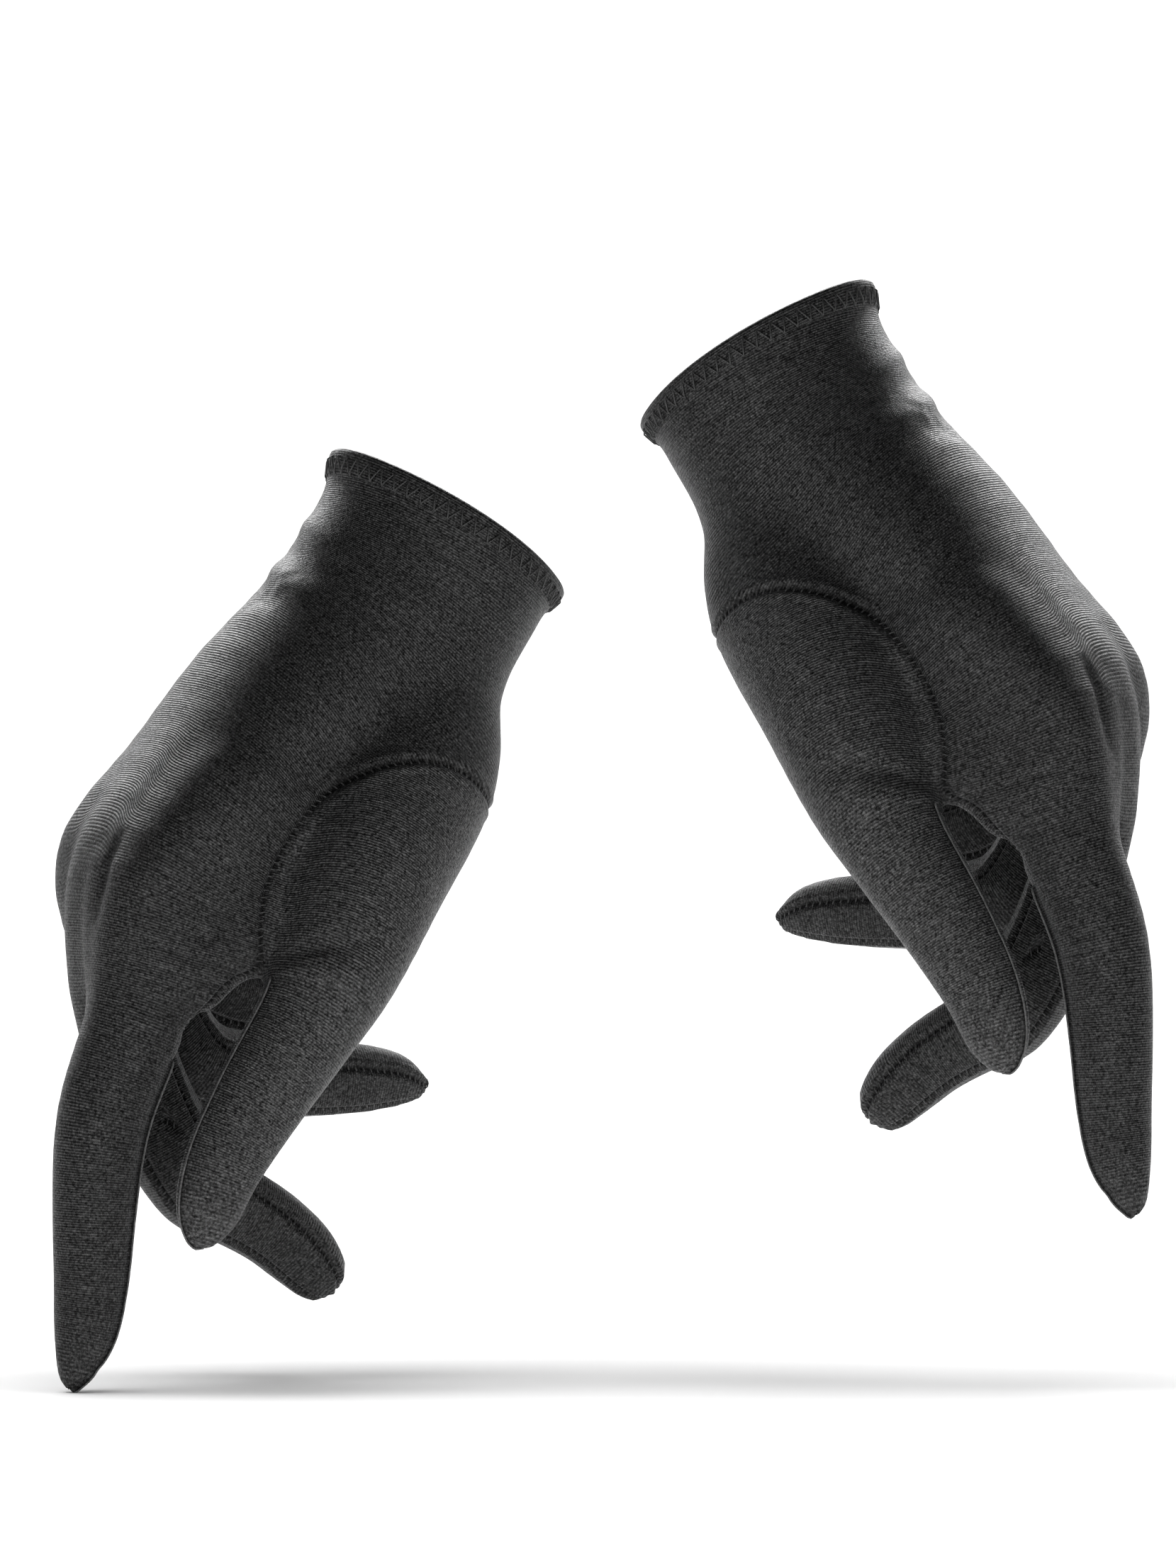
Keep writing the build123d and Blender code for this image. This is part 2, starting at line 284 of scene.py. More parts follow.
def raw_surface():
    """Triangles of the closed glove shape, in the hand frame."""
    low = np.array((-98.0, -57.0, -168.0))
    high = np.array((32.0, 48.0, 20.0))
    counts = np.ceil((high - low) / CELL).astype(int)
    axes = [low[i] + CELL * np.arange(counts[i]) for i in range(3)]
    coarse = distances([axis[::BAND] for axis in axes])
    for axis in range(3):
        coarse = np.repeat(coarse, BAND, axis=axis)
    distance = coarse[:counts[0], :counts[1], :counts[2]]
    near = np.argwhere(np.abs(distance) < BAND * CELL * 1.5)
    places = low + near * CELL
    distance[tuple(near.T)] = surface_distance(places)
    grid = openvdb.FloatGrid(5.0)
    grid.copyFromArray(np.clip(distance, -5, 5))
    points, quads = grid.convertToQuads(0.0)
    points = low + np.asarray(points, float) * CELL
    quads = np.asarray(quads, int)
    triangles = np.vstack([quads[:, [0, 1, 2]], quads[:, [0, 2, 3]]])
    return relaxed(points, triangles), triangles


def edge_pairs(triangles):
    pairs = np.vstack([triangles[:, [0, 1]], triangles[:, [1, 2]], triangles[:, [2, 0]]])
    pairs.sort(axis=1)
    return np.unique(pairs, axis=0)


EVEN_ROUNDS = 6         # rounds that even the grid's steps out
SOFT_ROUNDS = 9         # rounds that let the cloth bridge the sharpest grooves


def softened(points, pairs, count, rounds):
    """Moves each point halfway to the middle of its neighbours, again and again."""
    for _ in range(rounds):
        total = np.zeros_like(points)
        np.add.at(total, pairs[:, 0], points[pairs[:, 1]])
        np.add.at(total, pairs[:, 1], points[pairs[:, 0]])
        points = points + 0.5 * (total / count - points)
    return points


def relaxed(points, triangles):
    """Evens the grid's steps out on the surface, then softens it."""
    pairs = edge_pairs(triangles)
    count = np.bincount(pairs.ravel(), minlength=len(points))[:, None]
    points = softened(points, pairs, count, EVEN_ROUNDS)
    for _ in range(2):
        normal = gradient(points)
        points = points - normal * surface_distance(points)[:, None] * 0.7
    return softened(points, pairs, count, SOFT_ROUNDS)


# ---- finger frames ----

def spline(line, per_run=6):
    """A smooth line through the given points, which are rows of numbers."""
    line = np.array(line, float)
    padded = np.vstack([2 * line[0] - line[1], line, 2 * line[-1] - line[-2]])
    out = []
    for i in range(1, len(padded) - 2):
        a, b, c, d = padded[i - 1:i + 3]
        for share in np.linspace(0, 1, per_run, endpoint=False):
            t2, t3 = share ** 2, share ** 3
            out.append(0.5 * (2 * b + (c - a) * share + (2 * a - 5 * b + 4 * c - d) * t2
                              + (3 * b - a - 3 * c + d) * t3))
    out.append(line[-1])
    return np.array(out)


def lengths_of(path):
    """How far along a path each of its points is."""
    return np.concatenate([[0], np.cumsum(np.linalg.norm(np.diff(path, axis=0), axis=1))])


def nearest_run(points, path, ends_open=False):
    """Distance along a path, distance off it, offset from it, and its direction there."""
    best = np.full(len(points), 1e9)
    along = np.zeros(len(points))
    offset = np.zeros_like(points)
    direction = np.zeros_like(points)
    starts = lengths_of(path)
    for i, (a, b) in enumerate(zip(path, path[1:])):
        run = b - a
        low = -np.inf if ends_open and i == 0 else 0
        high = np.inf if ends_open and i == len(path) - 2 else 1
        share = np.clip(((points - a) @ run) / (run @ run), low, high)
        off = points - a - share[:, None] * run
        length = np.einsum("ij,ij->i", off, off)
        nearer = length < best
        best[nearer] = length[nearer]
        along[nearer] = starts[i] + share[nearer] * np.linalg.norm(run)
        offset[nearer] = off[nearer]
        direction[nearer] = run / np.linalg.norm(run)
    return along, np.sqrt(best), offset, direction


class Limb:
    """Coordinates along and round one finger."""

    def __init__(self, name):
        self.name = name
        if name == "thumb":
            line = [row[:3] for row in THUMB]
        else:
            w = hinge(name)[1]
            line = [(p, w, z) for p, z, _ in FINGERS[name]]
        self.path = spline(line)
        self.run = lengths_of(self.path)
        self.hinge = hinge(name)
        at_hinge = np.argmin(np.linalg.norm(self.path - self.hinge, axis=1))
        self.hinge_at = self.run[at_hinge]
        aim = self.path[at_hinge + 1] - self.path[at_hinge - 1]
        self.aim = aim / np.linalg.norm(aim)

    def place(self, points):
        """(distance along, angle round in degrees, distance off the line)."""
        along, off, offset, direction = nearest_run(points, self.path, ends_open=True)
        across = np.array((0.0, 1.0, 0.0)) - direction * direction[:, 1:2]
        across /= np.linalg.norm(across, axis=1)[:, None]
        back = np.cross(direction, across)
        u = np.einsum("ij,ij->i", offset, across)
        n = -np.einsum("ij,ij->i", offset, back)
        angle = np.degrees(np.arctan2(n, -u)) % 360
        return along, angle, off

    def past_cut(self, points):
        """Distance past the plane where the stall leaves the hand."""
        return (points - self.hinge) @ self.aim + CUT_BEFORE_HINGE

    def seam_angle(self, seam, along):
        base, tip = SEAMS[self.name][seam]
        share = np.clip((along - self.hinge_at) / (self.run[-1] - self.hinge_at), 0, 1)
        return base + (tip - base) * share


CUT_BEFORE_HINGE = 1.0  # the stall leaves the hand this far before its hinge
STALL_HALF = 8.85       # half the room across that a finger has beside the next one
LITTLE_HALF = 12.0
THUMB_SIDE = -28.0      # the thumb's stall stays on the outer side of this
LIMB_REACH = 13.5       # cloth further off a finger's line isn't its own
LIMBS = {name: Limb(name) for name in (*FINGERS, "thumb")}


# ---- cutting the surface ----

class Surface:
    """Triangles that can be cut where a field of values crosses zero."""

    def __init__(self, points, triangles):
        self.points = points
        self.triangles = triangles

    def cut(self, field, snap=0.12, jump=4.0):
        values = field(self.points)
        values = np.where(np.abs(values) < snap, 0.0, values)
        count = len(self.points)
        sides = self.triangles[:, [0, 1, 1, 2, 2, 0]].reshape(-1, 2)
        sides = np.sort(sides, axis=1)
        keys, where = np.unique(sides[:, 0] * count + sides[:, 1], return_inverse=True)
        low, high = keys // count, keys % count
        a, b = values[low], values[high]
        crossing = (a * b < 0) & (np.abs(a - b) < jump)
        share = (a / np.where(crossing, a - b, 1.0))[crossing, None]
        start, stop = self.points[low[crossing]], self.points[high[crossing]]
        middle = np.full(len(keys), -1)
        middle[crossing] = count + np.arange(crossing.sum())
        self.points = np.vstack([self.points, start + share * (stop - start)])
        self.triangles = divided(self.triangles, middle[where].reshape(-1, 3))


def divided(triangles, middle):
    """Triangles again, with the new points on their sides 01, 12 and 20 used."""
    split = middle >= 0
    count = split.sum(axis=1)
    out = [triangles[count == 0]]
    for turn in range(3):
        t = np.roll(triangles, -turn, axis=1)
        m = np.roll(middle, -turn, axis=1)
        s = m >= 0
        one = (count == 1) & s[:, 0]
        a, b, c, ab = t[one, 0], t[one, 1], t[one, 2], m[one, 0]
        out += [np.stack([a, ab, c], 1), np.stack([ab, b, c], 1)]
        two = (count == 2) & ~s[:, 1]
        a, b, c, ab, ca = t[two, 0], t[two, 1], t[two, 2], m[two, 0], m[two, 2]
        out += [np.stack([a, ab, ca], 1), np.stack([ab, b, c], 1), np.stack([ab, c, ca], 1)]
    three = count == 3
    (a, b, c), (ab, bc, ca) = triangles[three].T, middle[three].T
    out += [np.stack(rows, 1) for rows in ((a, ab, ca), (ab, b, bc), (ca, bc, c), (ab, bc, ca))]
    return np.vstack(out)


def vertex_normals(points, triangles):
    a, b, c = (points[triangles[:, i]] for i in range(3))
    face = np.cross(b - a, c - a)
    total = np.zeros_like(points)
    for i in range(3):
        np.add.at(total, triangles[:, i], face)
    return total / (np.linalg.norm(total, axis=1)[:, None] + 1e-12)


# ---- seams as fields ----

RIM_AIM = np.array((-0.53, 0.0, -0.85)) / math.hypot(0.53, 0.85)
RIM_WIDE = np.array((0.0, 1.0, 0.0))
RIM_THIN = np.cross(RIM_AIM, RIM_WIDE)
RIM_RAISE = 1.0         # the soft rim stands this far above the mount's plane


def below_rim(points):
    return points @ RIM_AIM + RIM_RAISE


def in_stall(limb, points, margin=0.0):
    """Which points belong to a limb's stall, past the plane where it is cut."""
    w = points[:, 1]
    inside = limb.past_cut(points) > -margin
    if limb.name == "thumb":
        inside &= w < THUMB_SIDE
    else:
        half = STALL_HALF if limb.name != "little" else LITTLE_HALF
        inside &= np.abs(w - limb.hinge[1]) < half
    picked = np.flatnonzero(inside)
    _, _, off = limb.place(points[picked])
    inside[picked[off > LIMB_REACH]] = False
    if limb.name == "thumb":
        picked = np.flatnonzero(inside)
        _, _, to_index = LIMBS["index"].place(points[picked])
        _, _, to_thumb = limb.place(points[picked])
        inside[picked[to_index < to_thumb]] = False
    return inside


def stall_plane(limb):
    def field(points):
        near = in_stall(limb, points, margin=3.0)
        return np.where(near, limb.past_cut(points), FAR * np.sign(limb.past_cut(points)))
    return field


def finger_seam(limb, seam, level=0.0):
    """Millimetres round the finger from one of its seams, in its stall."""
    def field(points):
        out = np.full(len(points), FAR)
        picked = np.flatnonzero(in_stall(limb, points, margin=0.3))
        along, angle, off = limb.place(points[picked])
        turn = (angle - limb.seam_angle(seam, along) + 180) % 360 - 180
        out[picked] = np.radians(turn) * off - level
        return out
    return field


def loop_distance(outline, x, y):
    """Signed distance to a closed outline, positive inside."""
    nearest = np.full(len(x), 1e9)
    inside = np.zeros(len(x), bool)
    for (x0, y0), (x1, y1) in zip(outline, np.roll(outline, -1, axis=0)):
        dx, dy = x1 - x0, y1 - y0
        share = np.clip(((x - x0) * dx + (y - y0) * dy) / (dx * dx + dy * dy), 0, 1)
        nearest = np.minimum(nearest, np.hypot(x - x0 - share * dx, y - y0 - share * dy))
        crosses = (y0 > y) != (y1 > y)
        slope = x0 + (y - y0) * dx / (dy if dy else 1e-9)
        inside ^= crosses & (x < slope)
    return np.where(inside, nearest, -nearest)


GORE_LOOP = np.vstack([spline(GORE_LEAD + GORE_SEAM, 5), GORE_FAR])


def gore_seam(level=0.0):
    def field(points):
        flat = loop_distance(GORE_LOOP, points[:, 0], points[:, 2])
        reach = GORE_REACH - points[:, 1]
        across = smooth_min(flat, reach, 8.0) - level
        for limb in LIMBS.values():
            across[in_stall(limb, points, margin=-0.05)] = FAR
        return across
    return field


def side_seam(level=0.0):
    """Distance across the seam down the little-finger edge of the hand."""
    line = spline([(row[0], row[2]) for row in HAND], 4)

    def field(points):
        _, _, offset, direction = nearest_run(points[:, [0, 2]], line)
        side = direction[:, 0] * offset[:, 1] - direction[:, 1] * offset[:, 0]
        edge = (points[:, 1] > 12) & (below_rim(points) > HEM)
        for limb in LIMBS.values():
            edge &= ~in_stall(limb, points)
        return np.where(edge, side - level, FAR)
    return field


# ---- relief of the cloth ----

# Valleys in the cloth: points (p, w, z) they run through, half width, depth (mm)
CREASES = [
    ([(-28.5, 8, -4), (-31.2, 0, -4.8), (-31, -8, -8), (-28, -16, -12)], 2.2, 0.9),
    ([(-33, 8, -12.5), (-36.5, 0, -14.5), (-35, -9, -18)], 2.4, 0.6),
    ([(-70.5, -20, -58), (-73.5, -21, -66), (-76, -22, -76)], 1.6, 0.8),
    ([(-48, -42, -82), (-43, -46, -80), (-36, -49, -78.5), (-30, -49, -77)], 2.4, 0.9),
    ([(-80, -31, -149), (-82, -28, -153), (-80, -24, -156.5)], 1.2, 0.6),
]
# Soft ridges in the cloth, written the same way
RIDGES = [
    ([(-26.4, 8, 0.5), (-28.2, 0, 0.2), (-28.2, -8, -2.5), (-25.8, -16, -7.5)], 2.2, 1.0),
    ([(-31, 9, -8), (-34.1, 0, -9.2), (-33.2, -8, -12.4), (-31, -15, -16.7)], 2.4, 1.0),
    ([(-71, -15, -60), (-74.5, -16.5, -72), (-77, -18, -84), (-79, -19, -95)], 2.4, 0.5),
    ([(-44, -40, -87), (-37, -46, -85), (-30, -48, -83)], 3.0, 0.5),
]


def line_distance(points, line):
    """Distance to a smooth line through a few points, and the share along it."""
    path = spline(line, 5)
    for _ in range(2):
        path = path - gradient(path) * surface_distance(path)[:, None]
    along, off, _, _ = nearest_run(points, path)
    return off, along / lengths_of(path)[-1]


def fade(share):
    """Full in the middle of a fold and nothing at its ends."""
    return np.sin(np.pi * np.clip(share, 0, 1)) ** 0.6


def fold_height(points):
    height = np.zeros(len(points))
    for sign, folds in ((-1, CREASES), (1, RIDGES)):
        for line, width, depth in folds:
            picked = beside(points, np.array(line, float), 4 * width)
            off, share = line_distance(points[picked], line)
            height[picked] += sign * depth * fade(share) * np.exp(-(off / width) ** 2)
    return height


FLARE = 2.6             # the cuff stands this far off the wrist at its back and palm
FLARE_DEPTH = 4.5       # and that fades this far below its rim


def flare_height(points):
    aside = points @ RIM_THIN / HAND[1][4]
    corner = np.clip(np.abs(aside), 0, 1) ** 6
    return FLARE * np.exp(-(below_rim(points) / FLARE_DEPTH) ** 2) * corner


SEAM_STEP = 1.5         # from one stitch to the next


def seam_height(across):
    """A sewn seam: the thread pulls a narrow valley between two soft lips."""
    off = np.abs(across)
    return -0.65 * np.exp(-(off / 0.6) ** 2) + 0.26 * np.exp(-((off - 1.5) / 0.7) ** 2)


def lip_height(across):
    """A seam whose turned edge stands up as a thin cord."""
    off = np.abs(across)
    return 0.35 * np.exp(-(off / 0.3) ** 2) - 0.2 * np.exp(-((off - 1.0) / 0.5) ** 2)


RAISED = {("index", "radial_palm"), ("thumb", "inner")}
SEAM_LEVELS = (0.0, -0.5, 0.5, -1.3, 1.3)       # the mesh is cut along a seam and beside it
HEM_INSIDE = -2.5       # and just above the rim, where the shape runs on unseen


def all_seams():
    """Every seam as (field maker, height profile)."""
    seams = [(gore_seam, seam_height), (side_seam, seam_height)]
    for name, limb in LIMBS.items():
        for seam in SEAMS[name]:
            profile = lip_height if (name, seam) in RAISED else seam_height
            seams.append((partial(finger_seam, limb, seam), profile))
    return seams


def made_surface():
    """The glove's outer surface, cut along its seams and stall planes, with its relief."""
    surface = Surface(*raw_surface())
    for limb in LIMBS.values():
        surface.cut(stall_plane(limb))
    surface.cut(lambda points: below_rim(points) - HEM)
    surface.cut(lambda points: below_rim(points) - HEM_INSIDE)
    for maker, _ in all_seams():
        for level in SEAM_LEVELS:
            surface.cut(maker(level=level))
    points = surface.points
    normals = vertex_normals(points, surface.triangles)
    height = fold_height(points) + flare_height(points)
    seam_off = np.full(len(points), FAR)
    for maker, profile in all_seams():
        across = maker()(points)
        height += profile(across)
        seam_off = np.minimum(seam_off, np.abs(across))
    surface.seam_off = seam_off
    surface.flat_points = points
    surface.points = points + normals * height[:, None]
    surface.normals = vertex_normals(surface.points, surface.triangles)
    return surface


def panel_faces(surface):
    """Triangle numbers of each fabric panel, by name."""
    centres = surface.flat_points[surface.triangles].mean(axis=1)
    depth = below_rim(centres)
    label = np.where(gore_seam()(centres) > 0, "thumb_gore", "hand_trank").astype("U24")
    label[depth < HEM] = "above"
    for name, limb in LIMBS.items():
        picked = np.flatnonzero(in_stall(limb, centres) & (limb.past_cut(centres) > 0))
        along, angle, _ = limb.place(centres[picked])
        if name == "thumb":
            label[picked] = "thumb_stall"
            continue
        for panel, (first, last) in PANELS[name].items():
            start = limb.seam_angle(first, along)
            width = (limb.seam_angle(last, along) - start) % 360
            label[picked[((angle - start) % 360) < width]] = f"{name}_{panel}"
    return {str(name): np.flatnonzero(label == name) for name in np.unique(label)}


# ---- making objects ----

def rebuilt(faces):
    """The points that the faces use, and the faces renumbered."""
    used, where = np.unique(faces, return_inverse=True)
    return used, where.reshape(faces.shape)


def open_edges(faces):
    sides = faces[:, [0, 1, 1, 2, 2, 0]].reshape(-1, 2)
    back = {(b, a) for a, b in sides.tolist()}
    return [edge for edge in sides.tolist() if tuple(edge) not in back]


def shell(points, normals, faces, thickness):
    """A closed sheet: the faces, the same faces further in, and a strip round the edge."""
    used, outer = rebuilt(faces)
    count = len(used)
    top, up = points[used], normals[used]
    solid = np.vstack([top, top - up * thickness])
    both = np.vstack([up, -up])
    inner = outer[:, ::-1] + count
    edges = np.array(open_edges(outer))
    a, b = edges[:, 0], edges[:, 1]
    rim = np.vstack([np.stack([b, a, a + count], 1), np.stack([b, a + count, b + count], 1)])
    return solid, both, np.vstack([outer, inner, rim]), used


def world(points):
    return points[:, :1] * FORWARD + points[:, 1:2] * ACROSS + points[:, 2:] * UP


SIDES = ("left", "right")


def placed(vectors, side, shift=True):
    """Hand frame to the row's frame; the right glove is the left one's mirror image."""
    out = world(np.asarray(vectors, float))
    if side == "right":
        out = out * np.array((-1.0, 1.0, 1.0))
        if shift:
            out = out + RIGHT_SHIFT
    return out


def added(name, data):
    """An object that holds this data, in the scene."""
    obj = bpy.data.objects.new(name, data)
    bpy.context.scene.collection.objects.link(obj)
    return obj


def make_mesh(name, points, faces, normals, attributes, side):
    faces = [list(face) for face in (faces.tolist() if hasattr(faces, "tolist") else faces)]
    if side == "right":
        faces = [face[::-1] for face in faces]
    mesh = bpy.data.meshes.new(name)
    mesh.from_pydata((placed(points, side) * MM).tolist(), [], faces)
    for key, values in attributes.items():
        layer = mesh.attributes.new(key, "FLOAT", "POINT")
        layer.data.foreach_set("value", np.asarray(values, np.float32))
    mesh.shade_smooth()
    if normals is not None:
        mesh.normals_split_custom_set_from_vertices(placed(normals, side, shift=False).tolist())
    return added(name, mesh)


# ---- threads ----

def tube(path, radius, sides=6):
    """A round thread along a path, closed at both ends."""
    path = np.asarray(path, float)
    ahead = np.gradient(path, axis=0)
    ahead /= np.linalg.norm(ahead, axis=1)[:, None] + 1e-12
    guide = np.array((0.31, 0.77, 0.55))
    side = np.cross(ahead, guide)
    side /= np.linalg.norm(side, axis=1)[:, None]
    other = np.cross(ahead, side)
    turns = np.arange(sides) * 2 * math.pi / sides
    rings = path[:, None] + radius * (np.cos(turns)[:, None] * side[:, None]
                                      + np.sin(turns)[:, None] * other[:, None])
    points = np.vstack([rings.reshape(-1, 3), path[:1] - ahead[:1] * radius * 0.6,
                        path[-1:] + ahead[-1:] * radius * 0.6])
    faces = []
    last = (len(path) - 1) * sides
    for row in range(len(path) - 1):
        for k in range(sides):
            a, b = row * sides + k, row * sides + (k + 1) % sides
            faces += [[a, b, b + sides], [a, b + sides, a + sides]]
    for k in range(sides):
        near, far = k, (k + 1) % sides
        faces += [[far, near, len(points) - 2], [last + near, last + far, len(points) - 1]]
    return points, np.array(faces)


def merged(shapes):
    """One set of points and faces; the last value is how many points each shape has."""
    points, faces, sizes, count = [], [], [], 0
    for some_points, some_faces in shapes:
        points.append(some_points)
        faces.append(some_faces + count)
        sizes.append(np.full(len(some_points), len(some_points)))
        count += len(some_points)
    return np.vstack(points), np.vstack(faces), np.concatenate(sizes)


def chains(edges):
    """Edges joined end to end into runs of point numbers."""
    beside = {}
    for a, b in edges:
        beside.setdefault(a, set()).add(b)
        beside.setdefault(b, set()).add(a)
    runs = []
    while beside:
        ends = [point for point, near in beside.items() if len(near) == 1]
        run = [min(ends) if ends else min(beside)]
        while beside.get(run[-1]):
            here = run[-1]
            there = min(beside[here])
            for a, b in ((here, there), (there, here)):
                beside[a].discard(b)
                if not beside[a]:
                    del beside[a]
            run.append(there)
        runs.append(run)
    return runs


def shared_edges(first, second):
    def sides(faces):
        pairs = np.sort(faces[:, [0, 1, 1, 2, 2, 0]].reshape(-1, 2), axis=1)
        return set(map(tuple, pairs.tolist()))
    return sorted(sides(first) & sides(second))


def smoothed(values, rounds=3):
    for _ in range(rounds):
        values = values.copy()
        values[1:-1] = 0.5 * values[1:-1] + 0.25 * (values[:-2] + values[2:])
    return values


def seam_samples(surface, run, step):
    """Points, normals and directions at even steps along a run of surface points."""
    points = smoothed(surface.points[run])
    normals = smoothed(surface.normals[run])
    lengths = lengths_of(points)
    at = np.arange(step / 2, lengths[-1], step)
    place = np.stack([np.interp(at, lengths, points[:, i]) for i in range(3)], 1)
    normal = np.stack([np.interp(at, lengths, normals[:, i]) for i in range(3)], 1)
    normal /= np.linalg.norm(normal, axis=1)[:, None]
    ahead = np.gradient(place, axis=0) if len(place) > 1 else np.zeros_like(place) + UP
    ahead /= np.linalg.norm(ahead, axis=1)[:, None] + 1e-12
    return place, normal, ahead


THREAD = 0.17           # radius of the sewing thread
STITCH_SHINE = 0.3      # painted highlight: a stitch gets this share of the lightening painted on the cord of a turned edge
STITCH_POINTS = 60      # a shape with more points than this is a cord, not a stitch
STITCH = ((-0.85, -0.05), (-0.4, 0.32), (0.4, 0.32), (0.85, -0.05))     # (across, off the cloth)
STITCH_SLANT = 0.35


def ladder(surface, run):
    """The stitches across a seam, seen as short bars."""
    shapes = []
    for place, normal, ahead in zip(*seam_samples(surface, run, SEAM_STEP)):
        across = np.cross(ahead, normal)
        path = [place + across * x + normal * y + ahead * STITCH_SLANT * x for x, y in STITCH]
        shapes.append(tube(path, THREAD))
    return shapes


def edge_cord(surface, run):
    """The turned edge of a raised seam."""
    place, normal, _ = seam_samples(surface, run, 0.6)
    if len(place) < 4:
        return []
    return [tube(place + normal * 0.12, 0.2)]


# ---- the cuff ----

class Cuff:
    """The outline of the glove near its wrist opening."""

    def __init__(self, surface):
        self.tree = BVHTree.FromPolygons(surface.points.tolist(), surface.triangles.tolist())

    def at(self, turn, depth, out=0.0):
        """A point on the cloth: turn round the cuff, depth below the rim."""
        aim = math.cos(turn) * RIM_WIDE + math.sin(turn) * RIM_THIN
        start = RIM_AIM * (max(depth, 0.0) - RIM_RAISE)
        hit = self.tree.ray_cast(Vector(start + aim * 60), Vector(-aim))[0]
        return np.array(hit) + aim * out + RIM_AIM * min(depth, 0.0)

    def ring(self, profile, count=220):
        """A closed band whose section is a list of (out, depth) corners."""
        rows = []
        for k in range(count):
            turn = 2 * math.pi * k / count
            rows.append([self.at(turn, depth, out) for out, depth in profile])
        points = np.array(rows).reshape(-1, 3)
        wide = len(profile)
        faces = []
        for k in range(count):
            for j in range(wide):
                a, b = k * wide + j, k * wide + (j + 1) % wide
                c, d = (b + wide) % len(points), (a + wide) % len(points)
                faces += [[a, b, c], [a, c, d]]
        return points, np.array(faces), np.zeros(len(points))


HEM_SECTION = [
    (-0.12, 5.3), (0.03, 4.6), (0.1, 3.0), (0.12, 1.8), (0.08, 0.9), (-0.05, 0.35), (-0.35, 0.0),
    (-0.8, -0.22), (-1.3, -0.2), (-1.75, 0.05), (-2.05, 0.5), (-2.2, 1.2), (-2.2, 5.0),
    (-1.6, 5.0), (-1.6, 1.2), (-1.4, 0.7), (-1.1, 0.5), (-0.75, 0.7), (-0.6, 1.2), (-0.6, 5.0)]
ELASTIC_SECTION = [(-0.8, 0.9), (-1.4, 0.9), (-1.4, 4.5), (-0.8, 4.5)]
ZIGZAG_PITCH = 3.0
ZIGZAG_ROWS = (1.5, 4.6)        # from this far below the rim to this far
ZIGZAG_THREAD = 0.15
ZIGZAG_LIFT = 0.42


def zigzag(cuff):
    """The hem's stitches, each a bowed thread lying on the cloth."""
    first = np.array([cuff.at(k * math.pi / 60, 3.0) for k in range(121)])
    girth = np.linalg.norm(np.diff(first, axis=0), axis=1).sum()
    count = 2 * round(girth / ZIGZAG_PITCH)
    shapes = []
    for k in range(count):
        path = []
        for share in (0.0, 0.15, 0.5, 0.85, 1.0):
            turn = 2 * math.pi * (k + share) / count
            row = share if k % 2 else 1 - share
            depth = ZIGZAG_ROWS[0] + row * (ZIGZAG_ROWS[1] - ZIGZAG_ROWS[0])
            lift = ZIGZAG_LIFT if 0 < share < 1 else 0.0
            path.append(cuff.at(turn, depth, lift))
        shapes.append(tube(path, ZIGZAG_THREAD))
    return merged(shapes)


# ---- materials ----

class Shader:
    """Short ways to write a node tree."""

    def __init__(self, name):
        self.material = bpy.data.materials.new(name)
        self.material.use_nodes = True
        self.tree = self.material.node_tree
        self.skin = self.tree.nodes["Principled BSDF"]

    def put(self, socket, value):
        if isinstance(value, bpy.types.NodeSocket):
            self.tree.links.new(value, socket)
        else:
            socket.default_value = value

    def node(self, kind, inputs=(), **settings):
        made = self.tree.nodes.new(kind)
        for key, value in settings.items():
            setattr(made, key, value)
        for key, value in dict(inputs).items():
            self.put(made.inputs[key], value)
        return made

    def math(self, operation, *values):
        made = self.node("ShaderNodeMath", enumerate(values), operation=operation)
        return made.outputs[0]

    def blend(self, low, high, share):
        """low where share is 0 and high where it is 1."""
        return self.math("MULTIPLY_ADD", share, self.math("SUBTRACT", high, low), low)

    def field(self, name):
        return self.node("ShaderNodeAttribute", attribute_name=name).outputs["Fac"]

    def noise(self, scale, detail=3.0, roughness=0.6):
        where = self.node("ShaderNodeTexCoord").outputs["Object"]
        inputs = {"Vector": where, "Scale": scale, "Detail": detail, "Roughness": roughness}
        return self.node("ShaderNodeTexNoise", inputs).outputs["Fac"]

    def wave(self, length, pitch):
        """0 to 1 and back, once in every pitch of a length."""
        turn = self.math("MULTIPLY", length, 2 * math.pi / pitch)
        return self.math("MULTIPLY_ADD", self.math("SINE", turn), 0.5, 0.5)

    def grey(self, value):
        return self.node("ShaderNodeCombineColor", {0: value, 1: value, 2: value}).outputs[0]

    def set(self, **inputs):
        for key, value in inputs.items():
            self.put(self.skin.inputs[key.replace("_", " ")], value)

    def bump(self, strength, distance, height):
        inputs = {"Strength": strength, "Distance": distance, "Height": height}
        self.set(Normal=self.node("ShaderNodeBump", inputs).outputs[0])


SEAM_SHADE = 0.7        # the cloth's colour is darkened this near to a seam, a painted shade for its sewn groove
